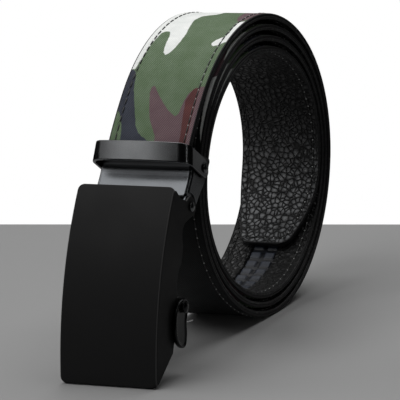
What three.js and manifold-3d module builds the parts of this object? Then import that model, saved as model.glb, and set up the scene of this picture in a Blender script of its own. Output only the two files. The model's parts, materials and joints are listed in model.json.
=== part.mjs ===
// A ratchet belt, rolled up: it stands on its roll and on the lower edge of its buckle.
// Millimetres, +Z up. X runs across the strap, the buckle faces -Y and the roll lies behind it.
// Headings are in degrees below the horizontal, for a strap or plate that runs forwards and down.

import * as THREE from 'three';
import { mergeVertices } from 'three/addons/utils/BufferGeometryUtils.js';
import Module from 'manifold-3d';

const wasm = await Module();
wasm.setup();

// Strap: a printed face ply glued to a pebbled lining, with a tapered free end
const strapWidth = 35;
const strapThickness = 2.4;
const facePly = 1.0;
const glueLine = 0.25;
const tipTaper = 36;
const tipWidth = 21;
const tipCorner = 4;

// Roll: wraps of the strap round a hollow a little wider than high
const rollRadius = 51.9;
const rollStep = 6;
const tipDirection = -51.5;
const leavingDirection = 3 * 360 + 90;
const sideGap = 0.62;
const backGap = 0.33;
const topGap = 1.25;
const bottomGap = 0.73;
const rollLobes = [
  { lobes: 2, share: 0.067, towards: -1 },
  { lobes: 3, share: 0.006, towards: 35 },
  { lobes: 4, share: 0.0076, towards: 12 },
];

// Front fall: how the last wrap leaves the roll and comes down into the clip
const fallRoom = 11;
const easyRadius = 165;
const mouthRadius = 14;
const fallHeading = 45;
const keeperHeading = 52;
const mouthHeading = 84;
const clipHeading = 51;
const clampedLength = 1.5;

// Ratchet track: two columns of teeth on a base, let into a slot in the lining
const trackStart = 120;
const trackLength = 280;
const slotWidth = 11.4;
const trackBase = 0.5;
const toothHeight = 0.45;
const toothPitch = 5.6;
const toothLength = 3.6;
const toothColumnGap = 1.4;

// Clearances between pieces that touch or turn on each other
const clearance = 0.3;
const rivetClearance = 0.25;

// Tail clip: a stamped channel over the strap's end, with ears for the face plate's hinge
const clipSheet = 1.0;
const clipInset = 0.7;
const clipDepth = 10.5;
const clipTabHeight = 14;
const hingeDrop = 9.4;
const hingeSetback = 3.3;
const jawThickness = 1.5;
const jawLength = 7;

// Face plate: a curved front sheet between two side walls with an ear for each pivot
const plateHalfWidth = 20.3;
const plateLength = 76.8;
const plateRadius = 140;
const plateSheet = 1.5;
const plateWall = 1.1;
const plateCorner = 2.6;
const plateBevel = 0.5;
const wallDepth = 16;
const earRadius = 4.3;
const hingeAlong = 1.2;
const hingeDepth = 16.3;
const pawlAlong = 45;
const pawlDepth = 18.2;

// Keeper loop: a bowed bar on two legs that turn on the clip's sides
const keeperSheet = 1.2;
const keeperHeight = 7.5;
const keeperLean = 8;
const keeperReach = 15.8;
const keeperRise = 33;
const keeperBow = 0.7;
const keeperCorner = 2.6;
const keeperEar = 3.7;
const keeperAlong = -7.7;
const keeperSetback = 4.6;

// Rivets and the pawl's pin
const shaftRadius = 1.2;
const rivetHead = 2.0;
const rivetDome = 1.0;
const pinHead = 2.2;
const pinDome = 1.3;

// Pawl and release lever
const pawlBarrel = 2.7;
const pawlArm = 16.5;
const pawlSheet = 1.6;
const pawlTooth = 2.2;
const pawlAngle = 138.6;
const leverSheet = 0.9;
const leverBevel = 0.35;
const leverLength = 18.6;
const leverWidth = 11.5;

const finishes = {
  faceLeather: { color: 0x3c5a34, roughness: 0.62, metalness: 0 },
  liningLeather: { color: 0x17171a, roughness: 0.6, metalness: 0 },
  track: { color: 0x4b5468, roughness: 0.5, metalness: 0 },
  mattBlack: { color: 0x101113, roughness: 0.5, metalness: 0.3 },
  satinBlack: { color: 0x26272a, roughness: 0.35, metalness: 0.6 },
  satinGrey: { color: 0x6d7480, roughness: 0.35, metalness: 0.7 },
};

const belt = new THREE.Group();

function addPiece(name, geometry, finish) {
  const mesh = new THREE.Mesh(geometry, new THREE.MeshStandardMaterial(finishes[finish]));
  mesh.name = name;
  belt.add(mesh);
  return mesh;
}

// Solids for joining and cutting

function toSolid(geometry) {
  const bare = new THREE.BufferGeometry();
  bare.setAttribute('position', geometry.getAttribute('position'));
  if (geometry.index) bare.setIndex(geometry.index);
  const merged = mergeVertices(bare, 1e-5);
  return new wasm.Manifold(new wasm.Mesh({
    numProp: 3,
    vertProperties: new Float32Array(merged.getAttribute('position').array),
    triVerts: new Uint32Array(merged.index.array),
  }));
}

function toGeometry(solid) {
  const mesh = solid.getMesh();
  const geometry = new THREE.BufferGeometry();
  geometry.setAttribute('position', new THREE.BufferAttribute(new Float32Array(mesh.vertProperties), 3));
  geometry.setIndex(new THREE.BufferAttribute(new Uint32Array(mesh.triVerts), 1));
  return geometry;
}

function joined(geometries) {
  return geometries.map(toSolid).reduce((whole, part) => whole.add(part));
}

// Side-view helpers: a Vector2 holds y and z

const radians = THREE.MathUtils.degToRad;
const outward = (heading) => new THREE.Vector2(-Math.sin(heading), Math.cos(heading));
const forward = (heading) => new THREE.Vector2(-Math.cos(heading), -Math.sin(heading));

// A frame's at(along, out) gives a side-view point; out is measured towards the front
function straightFrame(origin, headingDegrees) {
  const heading = radians(headingDegrees);
  return {
    headingAt: () => headingDegrees,
    at: (along, out) => origin.clone()
      .addScaledVector(forward(heading), along)
      .addScaledVector(outward(heading), out),
  };
}

function curvedFrame(centre, radius, startHeading) {
  return {
    headingAt: (along) => THREE.MathUtils.radToDeg(startHeading + along / radius),
    at: (along, out) => centre.clone().addScaledVector(outward(startHeading + along / radius), radius + out),
  };
}

// A straight frame at a point of another frame, turned from its along towards its out
function turnedFrame(frame, along, out, turn) {
  return straightFrame(frame.at(along, out), frame.headingAt(along) - turn);
}

// Points of an arc in a frame: angle 0 lies along the frame, 90 outwards
function arcIn(frame, along, out, radius, from, to, count) {
  return Array.from({ length: count + 1 }, (_, i) => {
    const angle = radians(from + ((to - from) * i) / count);
    return frame.at(along + radius * Math.cos(angle), out + radius * Math.sin(angle));
  });
}

// Points of an open line with normals at their bends, on the right of the way along it
function mitred(points) {
  const ways = points.slice(1).map((point, i) => point.clone().sub(points[i]).normalize());
  return points.map((point, i) => {
    const into = ways[Math.max(i - 1, 0)];
    const onward = ways[Math.min(i, ways.length - 1)];
    const mean = into.clone().add(onward).normalize();
    const normal = new THREE.Vector2(mean.y, -mean.x).divideScalar(mean.dot(into));
    return { point, normal };
  });
}

function circlePoints(centre, radius, from, to, count) {
  return Array.from({ length: count + 1 }, (_, i) => {
    const angle = radians(from + ((to - from) * i) / count);
    return new THREE.Vector2(centre.x + radius * Math.cos(angle), centre.y + radius * Math.sin(angle));
  });
}

// A side-view outline made into a plate from x = low to x = high
function sidePlate(outline, low, high, bevel = 0) {
  const geometry = new THREE.ExtrudeGeometry(new THREE.Shape(outline), {
    depth: high - low - 2 * bevel,
    bevelEnabled: bevel > 0,
    bevelThickness: bevel,
    bevelSize: bevel,
    bevelOffset: -bevel,
    bevelSegments: 2,
    curveSegments: 12,
  });
  geometry.translate(0, 0, low + bevel);
  const turn = new THREE.Matrix4().makeBasis(
    new THREE.Vector3(0, 1, 0), new THREE.Vector3(0, 0, 1), new THREE.Vector3(1, 0, 0));
  return geometry.applyMatrix4(turn);
}

function crossPin(centre, radius, low, high, sides = 16) {
  return sidePlate(circlePoints(centre, radius, 0, 360 - 360 / sides, sides - 1), low, high);
}

// A solid through closed rings of points, each ring with as many points, capped at both ends.
// capOutline is the ring's flat outline, which says how the caps are filled.
function ringSolid(rings, capOutline) {
  const count = rings[0].length;
  const positions = rings.flat().flatMap((point) => [point.x, point.y, point.z]);
  const index = [];
  for (let ring = 0; ring < rings.length - 1; ring += 1) {
    for (let i = 0; i < count; i += 1) {
      const here = ring * count + i;
      const next = ring * count + ((i + 1) % count);
      index.push(here, here + count, next, next, here + count, next + count);
    }
  }
  const last = (rings.length - 1) * count;
  const area = THREE.ShapeUtils.area;
  for (const face of THREE.ShapeUtils.triangulateShape(capOutline, [])) {
    const sameWay = area(face.map((corner) => capOutline[corner])) * area(capOutline) > 0;
    const [a, b, c] = sameWay ? face : face.reverse();
    index.push(a, b, c);
    index.push(last + a, last + c, last + b);
  }
  const geometry = new THREE.BufferGeometry();
  geometry.setAttribute('position', new THREE.Float32BufferAttribute(positions, 3));
  geometry.setIndex(index);
  return geometry;
}

const unitSquare = [[0, 0], [1, 0], [1, -1], [0, -1]].map(([x, y]) => new THREE.Vector2(x, y));

// Strap line: the outer surface in side view, from the tip through the roll to the clip

function rollOuter(direction) {
  const turned = radians(direction);
  const lobes = rollLobes.reduce(
    (sum, row) => sum + row.share * Math.cos(row.lobes * (turned - radians(row.towards))), 1);
  const up = Math.sin(turned);
  const crownGap = up > 0 ? topGap : bottomGap;
  const gap = sideGap + backGap * Math.cos(turned) + crownGap * up * up;
  return rollRadius * lobes + (direction / 360) * (strapThickness + gap);
}

function rollPoint(direction) {
  const turned = radians(direction);
  return new THREE.Vector2(Math.cos(turned), Math.sin(turned)).multiplyScalar(rollOuter(direction));
}

function arcOn(points, fromHeading, toHeading, radius) {
  const steps = Math.max(2, Math.ceil(Math.abs(toHeading - fromHeading) / rollStep));
  const bend = Math.sign(toHeading - fromHeading);
  const centre = points.at(-1).clone().addScaledVector(outward(radians(fromHeading)), -bend * radius);
  for (let i = 1; i <= steps; i += 1) {
    const heading = radians(fromHeading + ((toHeading - fromHeading) * i) / steps);
    points.push(centre.clone().addScaledVector(outward(heading), bend * radius));
  }
}

// The direction of the last wrap's lowest facet, where that facet lies level
function levelDirection() {
  const climb = (direction) => rollPoint(direction + rollStep / 2).y - rollPoint(direction - rollStep / 2).y;
  let [low, high] = [leavingDirection - 270, leavingDirection - 90];
  for (let halving = 0; halving < 40; halving += 1) {
    const between = (low + high) / 2;
    if (climb(between) < 0) low = between;
    else high = between;
  }
  return low;
}

function strapLine() {
  const level = levelDirection() + rollStep / 2;
  const stepsBack = Math.floor((level - tipDirection) / rollStep - 0.3);
  const points = [rollPoint(tipDirection)];
  for (let direction = level - stepsBack * rollStep; direction <= leavingDirection; direction += rollStep) {
    points.push(rollPoint(direction));
  }
  const step = points.at(-1).clone().sub(points.at(-2));
  const leavingHeading = THREE.MathUtils.radToDeg(Math.atan2(-step.y, -step.x)) + rollStep / 2;
  const fallRadius = points.at(-1).length() + fallRoom;
  arcOn(points, leavingHeading, fallHeading, fallRadius);
  arcOn(points, fallHeading, keeperHeading, easyRadius);
  const mouth = points.length - 1;
  arcOn(points, keeperHeading, mouthHeading, mouthRadius);
  arcOn(points, mouthHeading, clipHeading, mouthRadius);
  const clipOrigin = points.at(-1).clone();
  points.push(straightFrame(clipOrigin, clipHeading).at(clampedLength, 0));
  return { points, mouth, clipOrigin };
}

const line = strapLine();

// Each station's mitred outward normal and its distance from the tip
const stations = mitred(line.points);
stations.forEach((station, i) => {
  station.run = i === 0 ? 0 : stations[i - 1].run + station.point.distanceTo(stations[i - 1].point);
});
const strapLength = stations.at(-1).run;

// The strap's side-view point at a distance from the tip and a depth under the outer surface
function strapAt(run, depth) {
  const next = Math.max(1, stations.findIndex((station) => station.run >= run - 1e-9));
  const [a, b] = [stations[next - 1], stations[next]];
  const share = (run - a.run) / (b.run - a.run);
  const onA = a.point.clone().addScaledVector(a.normal, -depth);
  const onB = b.point.clone().addScaledVector(b.normal, -depth);
  return onA.lerp(onB, share);
}

// A band of the strap between two runs, with a half-width that may change along it
function strapBand(from, to, outerDepth, innerDepth, halfWidth, extraRuns = []) {
  const inside = stations.map((station) => station.run).filter((run) => run > from + 0.2 && run < to - 0.2);
  const runs = [from, ...inside, ...extraRuns, to].sort((a, b) => a - b);
  const kept = runs.filter((run, i) => i === 0 || run - runs[i - 1] > 0.1);
  const rings = kept.map((run) => {
    const outer = strapAt(run, outerDepth);
    const inner = strapAt(run, innerDepth);
    const half = halfWidth(run);
    return [
      new THREE.Vector3(-half, outer.x, outer.y), new THREE.Vector3(half, outer.x, outer.y),
      new THREE.Vector3(half, inner.x, inner.y), new THREE.Vector3(-half, inner.x, inner.y),
    ];
  });
  return ringSolid(rings, unitSquare);
}

function strapHalf(run) {
  const full = strapWidth / 2;
  const tip = tipWidth / 2;
  const flare = Math.sin((Math.PI / 2) * Math.min(1, run / tipTaper));
  const short = Math.max(0, tipCorner - run);
  const corner = tipCorner - Math.sqrt(tipCorner ** 2 - short ** 2);
  return tip + (full - tip) * flare - corner;
}

function plyRuns() {
  const corner = [0.08, 0.3, 0.6, 1].map((share) => share * tipCorner);
  const taper = [0.2, 0.35, 0.5, 0.65, 0.8, 1].map((share) => share * tipTaper);
  return [...corner, ...taper];
}

// Sizes that follow from the driving ones
const liningTop = facePly + glueLine;
const slotHalf = slotWidth / 2;
const trackHalf = slotHalf - clearance;
const trackEnd = trackStart + trackLength;
const clip = straightFrame(line.clipOrigin, clipHeading);
const hinge = clip.at(hingeDrop, -hingeSetback);
const keeperPivot = clip.at(keeperAlong, -keeperSetback);
const clipHalfWidth = plateHalfWidth - clipInset;
const wallInner = plateHalfWidth - plateWall;
const clipEarOuter = wallInner - clearance;
const clipEarInner = clipEarOuter - clipSheet;
const clipInner = clipHalfWidth - clipSheet;
const keeperInner = clipHalfWidth + clearance;
const keeperOuter = keeperInner + keeperSheet;
const boreRadius = shaftRadius + rivetClearance;

function makeStrap() {
  addPiece('strap_face', strapBand(0, strapLength, 0, facePly, strapHalf, plyRuns()), 'faceLeather');

  const ply = toSolid(strapBand(0, strapLength, liningTop, strapThickness, strapHalf, plyRuns()));
  const past = glueLine / 2;
  const slot = strapBand(
    trackStart - clearance, trackEnd + clearance, liningTop - past, strapThickness + past, () => slotHalf);
  addPiece('strap_lining', toGeometry(ply.subtract(toSolid(slot))), 'liningLeather');
}

function makeTrack() {
  const baseDepth = liningTop + trackBase;
  const parts = [strapBand(trackStart, trackEnd, liningTop, baseDepth, () => trackHalf)];
  const columnHalf = (trackHalf - toothColumnGap / 2) / 2;
  const columnCentre = toothColumnGap / 2 + columnHalf;
  const spare = toothPitch - toothLength;
  const rows = Math.floor((trackLength - spare) / toothPitch);
  for (let row = 0; row < rows; row += 1) {
    const from = trackStart + spare + row * toothPitch;
    for (const side of [-1, 1]) {
      const tooth = strapBand(
        from, from + toothLength, baseDepth - trackBase / 2, baseDepth + toothHeight, () => columnHalf - 0.05);
      parts.push(tooth.translate(side * columnCentre, 0, 0));
    }
  }
  addPiece('ratchet_track', toGeometry(joined(parts)), 'track');
}

// The clip's front sheet follows the strap's outer surface, then runs on to the shoulder

const shoulderRadius = earRadius + 3 * clearance;
const sheetOut = clearance + clipSheet;
const shoulderAlong = hingeDrop - Math.sqrt(shoulderRadius ** 2 - (hingeSetback + sheetOut) ** 2);
const mouthRun = stations[line.mouth].run + mouthRadius * radians(mouthHeading - keeperHeading) * 0.6;
const clipOriginRun = strapLength - clampedLength;

function clipFrontLine(out) {
  const runs = stations.map((station) => station.run).filter((run) => run > mouthRun && run <= clipOriginRun);
  return [...[mouthRun, ...runs].map((run) => strapAt(run, -out)), clip.at(shoulderAlong, out)];
}

function makeClip() {
  const sheetOutline = [...clipFrontLine(clearance), ...clipFrontLine(sheetOut).reverse()];
  const sheet = sidePlate(sheetOutline, -clipHalfWidth, clipHalfWidth);

  const shoulderStart = 180 - THREE.MathUtils.radToDeg(Math.asin(hingeSetback / shoulderRadius));
  const wallOutline = [
    ...clipFrontLine(clearance + clipSheet / 2),
    ...arcIn(clip, hingeDrop, -hingeSetback, shoulderRadius, shoulderStart, 245, 10),
    clip.at(hingeDrop * 0.2, -clipDepth * 0.84),
    clip.at(-clipTabHeight * 0.36, -clipDepth),
    clip.at(-clipTabHeight * 0.94, -clipDepth),
    clip.at(-clipTabHeight, -clipDepth * 0.9),
  ];
  const earTop = -clipTabHeight * 0.2;
  const earOutline = [
    clip.at(earTop, 0),
    ...arcIn(clip, hingeDrop, -hingeSetback, earRadius - 2 * clearance, 110, -110, 14),
    clip.at(hingeDrop * 0.2, -clipDepth * 0.8),
    clip.at(earTop, -clipDepth * 0.84),
  ];
  const parts = [sheet];
  for (const side of [-1, 1]) {
    const span = (near, far) => (side > 0 ? [near, far] : [-far, -near]);
    parts.push(sidePlate(wallOutline, ...span(clipInner, clipHalfWidth)));
    parts.push(sidePlate(earOutline, ...span(clipEarInner, clipEarOuter)));
  }
  const holes = [
    crossPin(hinge, boreRadius, -2 * clipHalfWidth, 2 * clipHalfWidth),
    crossPin(keeperPivot, boreRadius, -2 * clipHalfWidth, 2 * clipHalfWidth),
    crossPin(hinge, shoulderRadius, clipEarOuter, 2 * clipHalfWidth, 24),
    crossPin(hinge, shoulderRadius, -2 * clipHalfWidth, -clipEarOuter, 24),
  ];
  const solid = holes.reduce((whole, hole) => whole.subtract(toSolid(hole)), joined(parts));
  addPiece('tail_clip', toGeometry(solid), 'satinGrey');
}

function makeJaw() {
  const front = -(strapThickness + clearance);
  const outline = [
    clip.at(clampedLength, front), clip.at(clampedLength - jawLength, front),
    clip.at(clampedLength - jawLength, front - jawThickness), clip.at(clampedLength, front - jawThickness),
  ];
  const half = clipEarInner - clearance;
  addPiece('clamp_jaw', sidePlate(outline, -half, half), 'satinGrey');
}

// Pins and rivets: a lathe profile along x, turned about a side-view centre

function domeProfile(headRadius, seat, height) {
  const rim = [1, 0.93, 0.75, 0.42].map((share) => new THREE.Vector2(
    headRadius * share, seat + height * Math.sqrt(1 - 0.85 * share ** 2)));
  return [new THREE.Vector2(headRadius, seat), ...rim, new THREE.Vector2(0, seat + height)];
}

function addPin(name, centre, side, profile, finish) {
  const geometry = new THREE.LatheGeometry(profile, 16);
  const across = new THREE.Matrix4().makeBasis(
    new THREE.Vector3(0, 1, 0), new THREE.Vector3(1, 0, 0), new THREE.Vector3(0, 0, -1));
  geometry.applyMatrix4(across);
  if (side < 0) geometry.rotateZ(Math.PI);
  geometry.translate(0, centre.x, centre.y);
  addPiece(name, geometry, finish);
}

function addRivets(name, centre, inner, seat, finish) {
  const shaft = [
    new THREE.Vector2(0, inner), new THREE.Vector2(shaftRadius, inner), new THREE.Vector2(shaftRadius, seat)];
  const profile = [...shaft, ...domeProfile(rivetHead, seat, rivetDome)];
  addPin(`${name}_left`, centre, -1, profile, finish);
  addPin(`${name}_right`, centre, 1, profile, finish);
}

// The keeper's loop in its own plane: x across and the reach from the pivot towards the bar

function keeperPath() {
  const legX = (keeperInner + keeperOuter) / 2;
  const barReach = keeperReach - keeperSheet / 2;
  const cornerReach = barReach - keeperCorner;
  const leg = [-0.93, -0.7, -0.35, 0].map((share) => new THREE.Vector2(-legX, share * keeperEar));
  const corner = circlePoints(
    new THREE.Vector2(-legX + keeperCorner, cornerReach), keeperCorner, 180, 90, 6);
  const barHalf = legX - keeperCorner;
  const bow = [0.66, 0.33].map((share) => new THREE.Vector2(
    -barHalf * share, barReach + keeperBow * (1 - share ** 2)));
  const left = [...leg, ...corner, ...bow];
  const middle = new THREE.Vector2(0, barReach + keeperBow);
  const right = left.map((point) => new THREE.Vector2(-point.x, point.y)).reverse();
  return [...left, middle, ...right];
}

function makeKeeper() {
  const rise = radians(keeperRise);
  const lean = radians(keeperLean);
  const toWorld = (x, reach, height) => new THREE.Vector3(
    x,
    keeperPivot.x - reach * Math.cos(rise) + height * Math.sin(lean),
    keeperPivot.y + reach * Math.sin(rise) + height * Math.cos(lean));
  const rings = mitred(keeperPath()).map(({ point, normal }) => {
    const half = (keeperHeight / 2) * Math.sqrt(1 - Math.min(0, point.y / keeperEar) ** 2);
    const outer = point.clone().addScaledVector(normal, -keeperSheet / 2);
    const inner = point.clone().addScaledVector(normal, keeperSheet / 2);
    return [
      toWorld(outer.x, outer.y, -half), toWorld(outer.x, outer.y, half),
      toWorld(inner.x, inner.y, half), toWorld(inner.x, inner.y, -half),
    ];
  });
  const loop = toSolid(ringSolid(rings, unitSquare));
  const bore = crossPin(keeperPivot, boreRadius, -2 * keeperOuter, 2 * keeperOuter);
  addPiece('keeper_loop', toGeometry(loop.subtract(toSolid(bore))), 'satinBlack');
  addRivets('keeper_rivet', keeperPivot, clipInner - clearance, keeperOuter + clearance / 2, 'satinBlack');
}

// The face plate turns on the hinge until its lower edge stands as low as the roll

const floorHeight = Math.min(...line.points.map((point) => point.y));

function plateFrame() {
  const standingOut = plateRadius - plateSheet;
  const hingeOut = plateRadius - hingeDepth;
  const [standing, hinged] = [plateLength / plateRadius, hingeAlong / plateRadius];
  const level = Math.cos(standing) * standingOut - Math.cos(hinged) * hingeOut;
  const slant = Math.sin(standing) * standingOut - Math.sin(hinged) * hingeOut;
  const drop = hinge.y - floorHeight;
  const startHeading = Math.acos(-drop / Math.hypot(level, slant)) - Math.atan2(slant, level);
  const centre = hinge.clone().addScaledVector(outward(startHeading + hinged), -hingeOut);
  return curvedFrame(centre, plateRadius, startHeading);
}

const plate = plateFrame();
const pawlPivot = plate.at(pawlAlong, -pawlDepth);

// The side wall's free edge, in shares of the plate's length and of the wall's depth
const wallAboveHinge = [
  { along: 0.01, depth: 0.1 }, { along: 0.022, depth: 0.3 }, { along: 0.027, depth: 0.46 },
  { along: 0.016, depth: 0.6 },
];
const wallBetween = [
  { along: 0.116, depth: 0.92 }, { along: 0.14, depth: 0.83 }, { along: 0.172, depth: 0.81 },
  { along: 0.212, depth: 0.86 }, { along: 0.25, depth: 0.97 }, { along: 0.34, depth: 1.01 },
  { along: 0.388, depth: 0.91 }, { along: 0.45, depth: 0.87 }, { along: 0.5, depth: 0.9 },
];
const wallBelowPawl = [
  { along: 0.8, depth: 0.91 }, { along: 0.84, depth: 0.89 }, { along: 0.925, depth: 0.44 },
  { along: 0.985, depth: 0.09 },
];

function makePlate() {
  const wallPoint = (row) => plate.at(row.along * plateLength, -row.depth * wallDepth);
  const inSheet = -plateSheet * 0.6;
  const frontSteps = 14;
  const front = Array.from({ length: frontSteps + 1 }, (_, i) => (
    plate.at(plateLength * (0.985 - (0.97 * i) / frontSteps), inSheet)));
  const wallOutline = [
    ...wallAboveHinge.map(wallPoint),
    ...arcIn(plate, hingeAlong, -hingeDepth, earRadius, 92, 330, 13),
    ...wallBetween.map(wallPoint),
    ...arcIn(plate, pawlAlong, -pawlDepth, earRadius, 140, 332, 12),
    ...wallBelowPawl.map(wallPoint),
    ...front,
  ];
  const ends = [0, 0.05, plateBevel / plateCorner, 0.4, 0.65, 1].map((share) => share * plateCorner);
  const span = plateLength - 2 * plateCorner;
  const middle = Array.from({ length: 15 }, (_, i) => plateCorner + (span * (i + 1)) / 16);
  const alongs = [...ends, ...middle, ...ends.map((end) => plateLength - end).reverse()];
  const rings = alongs.map((along) => {
    const toEnd = Math.min(along, plateLength - along);
    const short = Math.max(0, plateCorner - toEnd);
    const half = plateHalfWidth - plateCorner + Math.sqrt(plateCorner ** 2 - short ** 2);
    const top = -Math.max(0, plateBevel - toEnd);
    const point = (x, out) => {
      const side = plate.at(along, out);
      return new THREE.Vector3(x, side.x, side.y);
    };
    return [
      point(-half + plateBevel, top), point(half - plateBevel, top), point(half, top - plateBevel),
      point(half, -plateSheet), point(-half, -plateSheet), point(-half, top - plateBevel),
    ];
  });
  const capOutline = [[0, 0], [8, 0], [9, -1], [9, -3], [-1, -3], [-1, -1]].map(([x, y]) => new THREE.Vector2(x, y));
  const parts = [ringSolid(rings, capOutline)];
  for (const low of [-plateHalfWidth, wallInner]) {
    parts.push(sidePlate(wallOutline, low, low + plateWall));
  }
  const bores = [hinge, pawlPivot].map((pivot) => (
    crossPin(pivot, boreRadius, -2 * plateHalfWidth, 2 * plateHalfWidth)));
  const solid = bores.reduce((whole, bore) => whole.subtract(toSolid(bore)), joined(parts));
  addPiece('face_plate', toGeometry(solid), 'mattBlack');
  addRivets('hinge_rivet', hinge, clipEarInner - clearance, plateHalfWidth + clearance / 2, 'mattBlack');
}

// Pawl: a full-width tongue with a tooth at its end, that turns with the release lever

const leverSeat = plateHalfWidth + clearance;
const leverOutside = leverSeat + leverSheet + 2 * leverBevel;

// The lever's outline from its pivot, in shares of its length and width
const leverOutline = [
  { along: -0.2, out: -0.02 }, { along: -0.08, out: 0.34 }, { along: 0.19, out: 0.54 },
  { along: 0.54, out: 0.52 }, { along: 0.82, out: 0.34 }, { along: 0.96, out: -0.02 },
  { along: 0.9, out: -0.29 }, { along: 0.645, out: -0.34 }, { along: 0.376, out: -0.28 },
  { along: 0.19, out: -0.3 }, { along: 0, out: -0.35 }, { along: -0.15, out: -0.28 },
];

function makePawl() {
  const arm = turnedFrame(plate, pawlAlong, -pawlDepth, pawlAngle);
  const half = wallInner - 2 * clearance;
  const thick = pawlSheet / 2;
  const armOutline = [
    arm.at(0, -thick), arm.at(pawlArm - pawlTooth, -thick), arm.at(pawlArm - pawlTooth / 2, -thick - pawlTooth),
    arm.at(pawlArm, -thick), arm.at(pawlArm, thick), arm.at(0, thick),
  ];
  const barrel = crossPin(pawlPivot, pawlBarrel, -half, half, 20);
  const bore = toSolid(crossPin(pawlPivot, boreRadius, -2 * half, 2 * half));
  const solid = joined([barrel, sidePlate(armOutline, -half, half)]).subtract(bore);
  addPiece('pawl', toGeometry(solid), 'satinGrey');

  const outline = new THREE.CatmullRomCurve3(leverOutline.map((row) => {
    const point = plate.at(pawlAlong + row.along * leverLength, -pawlDepth + row.out * leverWidth);
    return new THREE.Vector3(point.x, point.y, 0);
  }), true, 'centripetal').getPoints(36).slice(0, -1).map((point) => new THREE.Vector2(point.x, point.y));
  const lever = toSolid(sidePlate(outline, leverSeat, leverOutside, leverBevel));
  addPiece('release_lever', toGeometry(lever.subtract(toSolid(
    crossPin(pawlPivot, boreRadius, 0, 2 * plateHalfWidth)))), 'mattBlack');

  const seat = leverOutside + clearance / 2;
  const tail = -(plateHalfWidth + clearance);
  const tailHead = [
    new THREE.Vector2(0, tail - rivetDome), new THREE.Vector2(rivetHead * 0.7, tail - rivetDome),
    new THREE.Vector2(rivetHead, tail - rivetDome * 0.5), new THREE.Vector2(rivetHead, tail),
    new THREE.Vector2(shaftRadius, tail), new THREE.Vector2(shaftRadius, seat),
  ];
  addPin('pawl_pin', pawlPivot, 1, [...tailHead, ...domeProfile(pinHead, seat, pinDome)], 'mattBlack');
}

makeStrap();
makeTrack();
makeClip();
makeJaw();
makeKeeper();
makePlate();
makePawl();

// The origin goes under the middle of the whole belt, at the height of what it stands on
const whole = new THREE.Box3().setFromObject(belt);
const middle = whole.getCenter(new THREE.Vector3());
belt.position.set(-middle.x, -middle.y, -whole.min.z);

export default belt;
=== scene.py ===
"""Looks for a rolled ratchet belt: camouflage strap, pebbled lining, toothed track, matt black buckle.

Side views are worked out in millimetres round the roll's centre, y to the back and z up. A heading is in
degrees below the horizontal, for what runs forwards and down. Meshes are in metres in the CAD's frame.
"""

import json
import math

import bpy
import numpy as np
from mathutils import Matrix, Vector


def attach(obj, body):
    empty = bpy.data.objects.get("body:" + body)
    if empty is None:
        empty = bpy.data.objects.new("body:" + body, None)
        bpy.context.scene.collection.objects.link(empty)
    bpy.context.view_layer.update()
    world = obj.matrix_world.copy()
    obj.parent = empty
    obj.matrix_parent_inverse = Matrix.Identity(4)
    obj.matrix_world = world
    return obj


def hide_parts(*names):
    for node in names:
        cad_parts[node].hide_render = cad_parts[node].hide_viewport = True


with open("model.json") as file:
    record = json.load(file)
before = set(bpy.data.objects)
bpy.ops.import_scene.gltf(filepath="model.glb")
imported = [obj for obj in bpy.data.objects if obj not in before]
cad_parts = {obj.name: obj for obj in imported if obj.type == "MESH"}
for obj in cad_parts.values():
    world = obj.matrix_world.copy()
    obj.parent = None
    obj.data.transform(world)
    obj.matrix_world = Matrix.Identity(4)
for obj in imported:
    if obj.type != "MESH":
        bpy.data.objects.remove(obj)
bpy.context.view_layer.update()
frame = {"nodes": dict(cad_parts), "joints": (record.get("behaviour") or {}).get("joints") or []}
joints = {joint["name"]: joint for joint in frame["joints"]}

MM = 0.001
FULL_TURN = 360
BLACK_PAINT = (0.005, 0.005, 0.0055)

# Strap and roll, with the sizes of the solid one
STRAP_HALF = 17.5
STRAP_THICK = 2.4
PLY_JOIN = 1.14
GLUE = 0.06
TIP_HALF = 10.5
TIP_TAPER = 36
TIP_CORNER = 4
ROLL_RADIUS = 51.9
ROLL_STEP = 6
ROLL_POINTS = 960
TIP_DIRECTION = -51.5
LEAVING_DIRECTION = 1170
GAPS = {"side": 0.62, "back": 0.33, "top": 1.25, "bottom": 0.73}
LOBES = ((2, 0.067, -1), (3, 0.006, 35), (4, 0.0076, 12))
FALL_ROOM = 11
EASY_RADIUS = 165
MOUTH_RADIUS = 14
FALL_HEADING = 45
KEEPER_HEADING = 52
MOUTH_HEADING = 84
CLIP_HEADING = 51
CLAMPED = 1.5
EDGE_ROUND = 0.55
STITCH_INSET = 2.9
STITCH_PITCH = 3.95
WEAVE = 560.0
SLOT_HALF = 5.7
TRACK_FROM = 120
TRACK_LENGTH = 280
TRACK_HALF = 5.4
TRACK_BACK = 1.25
TRACK_BASE = 1.5
TOOTH_TOP = 2.36
TOOTH_PITCH = 5.6
TOOTH_LONG = 3.7
TOOTH_FROM = 2.0
COLUMN_MIDDLE = 3.05
COLUMN_HALF = 2.3

# Clip, keeper and face plate
HINGE_DROP = 9.4
HINGE_SETBACK = 3.3
KEEPER_ALONG = -7.7
KEEPER_SETBACK = 4.6
CLIP_HALF = 19.6
PLATE_HALF = 20.3
PLATE_LENGTH = 76.8
PLATE_RADIUS = 140
PLATE_SHEET = 1.5
PLATE_CORNER = 2.6
PLATE_ROUND = 0.6
WALL_INNER = 19.2
WALL_DEPTH = 16
WALL_RIM = 0.2
WALL_FRONT = 0.9
WALL_FLUSH = 0.015
EAR_RADIUS = 4.3
HINGE_ALONG = 1.2
HINGE_DEPTH = 16.3
PAWL_ALONG = 45
PAWL_DEPTH = 18.2
GAP = 0.3
CLIP_SHEET = 1.0
CLIP_BEND = 1.6
CLIP_DEPTH = 10.5
CLIP_TAB = 14
CLIP_FLUSH = 0.03
SHOULDER_RADIUS = 5.2
KEEPER_SHEET = 1.2
KEEPER_HALF = 3.75
KEEPER_ROUND = 0.35
KEEPER_LEAN = 8
KEEPER_RISE = 33
KEEPER_REACH = 15.8
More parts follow.
